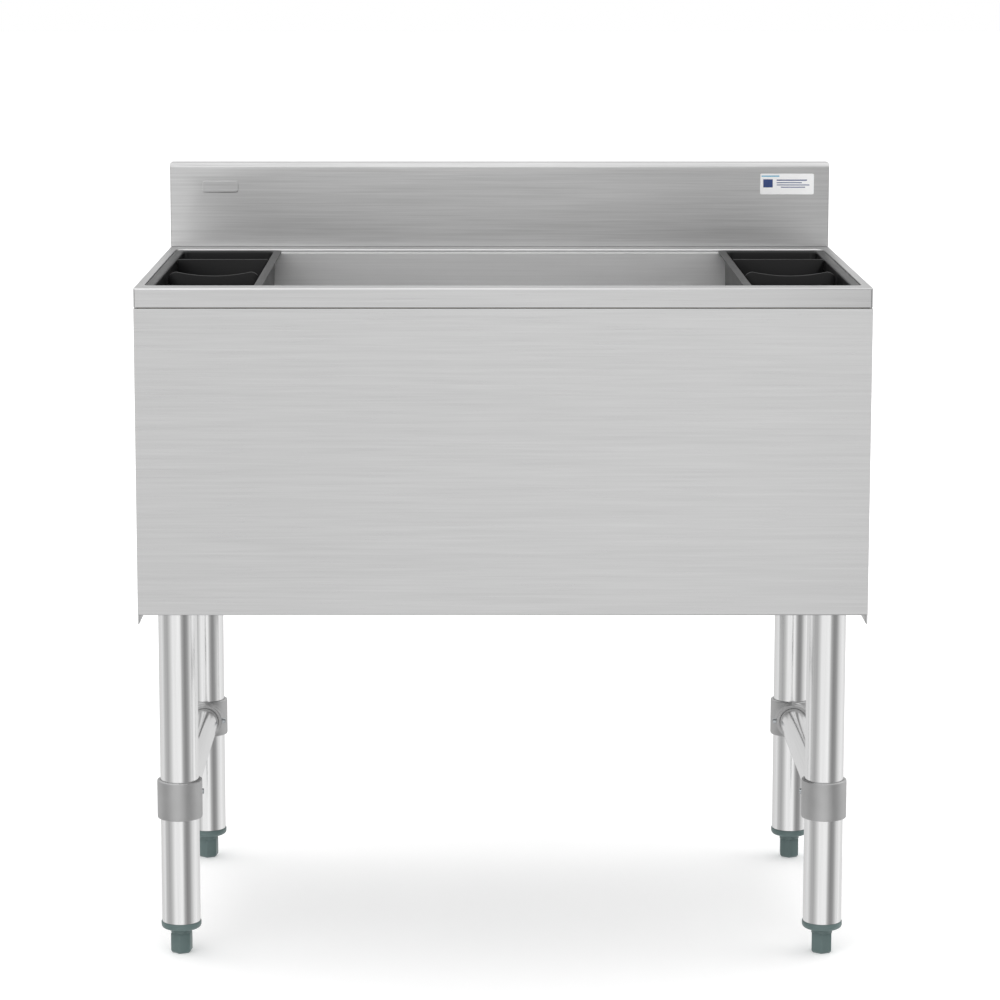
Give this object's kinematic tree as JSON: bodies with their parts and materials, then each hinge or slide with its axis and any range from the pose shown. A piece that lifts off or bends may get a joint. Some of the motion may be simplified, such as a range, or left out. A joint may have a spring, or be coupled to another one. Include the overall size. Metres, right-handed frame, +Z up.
{
  "type": "underbar ice bin with bottle wells",
  "caption": "Insulated stainless ice bin on tube legs, with a raised backsplash, a drained ice well between two lift-out bottle wells, side stretchers and adjustable feet.",
  "frame": {"origin": "on the floor under the middle of the cabinet's outline", "axes": "+Z up, +X to the right of someone who faces the front, +Y from the front panel towards the wall"},
  "size_m": [0.762, 0.483, 0.824],
  "materials": {
    "brushed_steel": "satin",
    "liner_steel": "satin",
    "dull_steel": "matte",
    "polished_steel": "polished",
    "cast_aluminium": "matte",
    "zinc": "satin",
    "black_plastic": "satin",
    "grey_plastic": "satin",
    "rubber": "matte",
    "rigid_foam": "matte",
    "label": "gloss"
  },
  "bodies": {
    "cabinet": {"top_rim": "brushed_steel", "backsplash": "brushed_steel", "front_panel": "brushed_steel", "side_panel_left": "brushed_steel", "side_panel_right": "brushed_steel", "back_panel": "dull_steel", "bottom_panel": "dull_steel", "ice_liner": "liner_steel", "foam_tub": "rigid_foam", "drain_flange": "polished_steel", "drain_gasket": "rubber", "drain_nut": "zinc", "drain_tailpiece": "polished_steel", "under_channel_left": "dull_steel", "under_channel_right": "dull_steel", "leg_socket_front_left": "dull_steel", "socket_screw_front_left": "zinc", "leg_front_left": "polished_steel", "clamp_front_left": "cast_aluminium", "clamp_screw_front_left": "zinc", "ferrule_front_left": "grey_plastic", "leg_socket_front_right": "dull_steel", "socket_screw_front_right": "zinc", "leg_front_right": "polished_steel", "clamp_front_right": "cast_aluminium", "clamp_screw_front_right": "zinc", "ferrule_front_right": "grey_plastic", "leg_socket_rear_left": "dull_steel", "socket_screw_rear_left": "zinc", "leg_rear_left": "polished_steel", "clamp_rear_left": "cast_aluminium", "clamp_screw_rear_left": "zinc", "ferrule_rear_left": "grey_plastic", "leg_socket_rear_right": "dull_steel", "socket_screw_rear_right": "zinc", "leg_rear_right": "polished_steel", "clamp_rear_right": "cast_aluminium", "clamp_screw_rear_right": "zinc", "ferrule_rear_right": "grey_plastic", "stretcher_left": "polished_steel", "stretcher_right": "polished_steel", "label": "label"},
    "bottle_well_left": {"bottle_well_left": "black_plastic"},
    "bottle_well_right": {"bottle_well_right": "black_plastic"},
    "straight_divider_left": {"straight_divider_left": "black_plastic"},
    "saddle_divider_left": {"saddle_divider_left": "black_plastic"},
    "straight_divider_right": {"straight_divider_right": "black_plastic"},
    "saddle_divider_right": {"saddle_divider_right": "black_plastic"},
    "drain_strainer": {"drain_strainer": "polished_steel"},
    "foot_front_left": {"foot_front_left": "grey_plastic"},
    "foot_front_right": {"foot_front_right": "grey_plastic"},
    "foot_rear_left": {"foot_rear_left": "grey_plastic"},
    "foot_rear_right": {"foot_rear_right": "grey_plastic"}
  },
  "joints": [
    {"name": "foot_front_left_height", "type": "slide", "parent": "cabinet", "child": "foot_front_left", "axis": [0, 0, -1], "range_m": [0, 0.025]},
    {"name": "foot_front_right_height", "type": "slide", "parent": "cabinet", "child": "foot_front_right", "axis": [0, 0, -1], "range_m": [0, 0.025]},
    {"name": "foot_rear_left_height", "type": "slide", "parent": "cabinet", "child": "foot_rear_left", "axis": [0, 0, -1], "range_m": [0, 0.025]},
    {"name": "foot_rear_right_height", "type": "slide", "parent": "cabinet", "child": "foot_rear_right", "axis": [0, 0, -1], "range_m": [0, 0.025]},
    {"name": "bottle_well_left_lift", "type": "slide", "parent": "cabinet", "child": "bottle_well_left", "axis": [0, 0, 1], "range_m": [0, 0.22]},
    {"name": "straight_divider_left_lift", "type": "slide", "parent": "bottle_well_left", "child": "straight_divider_left", "axis": [0, 0, 1], "range_m": [0, 0.2]},
    {"name": "saddle_divider_left_lift", "type": "slide", "parent": "bottle_well_left", "child": "saddle_divider_left", "axis": [0, 0, 1], "range_m": [0, 0.2]},
    {"name": "bottle_well_right_lift", "type": "slide", "parent": "cabinet", "child": "bottle_well_right", "axis": [0, 0, 1], "range_m": [0, 0.22]},
    {"name": "straight_divider_right_lift", "type": "slide", "parent": "bottle_well_right", "child": "straight_divider_right", "axis": [0, 0, 1], "range_m": [0, 0.2]},
    {"name": "saddle_divider_right_lift", "type": "slide", "parent": "bottle_well_right", "child": "saddle_divider_right", "axis": [0, 0, 1], "range_m": [0, 0.2]},
    {"name": "drain_strainer_lift", "type": "slide", "parent": "cabinet", "child": "drain_strainer", "axis": [0, 0, 1], "range_m": [0, 0.3]}
  ]
}
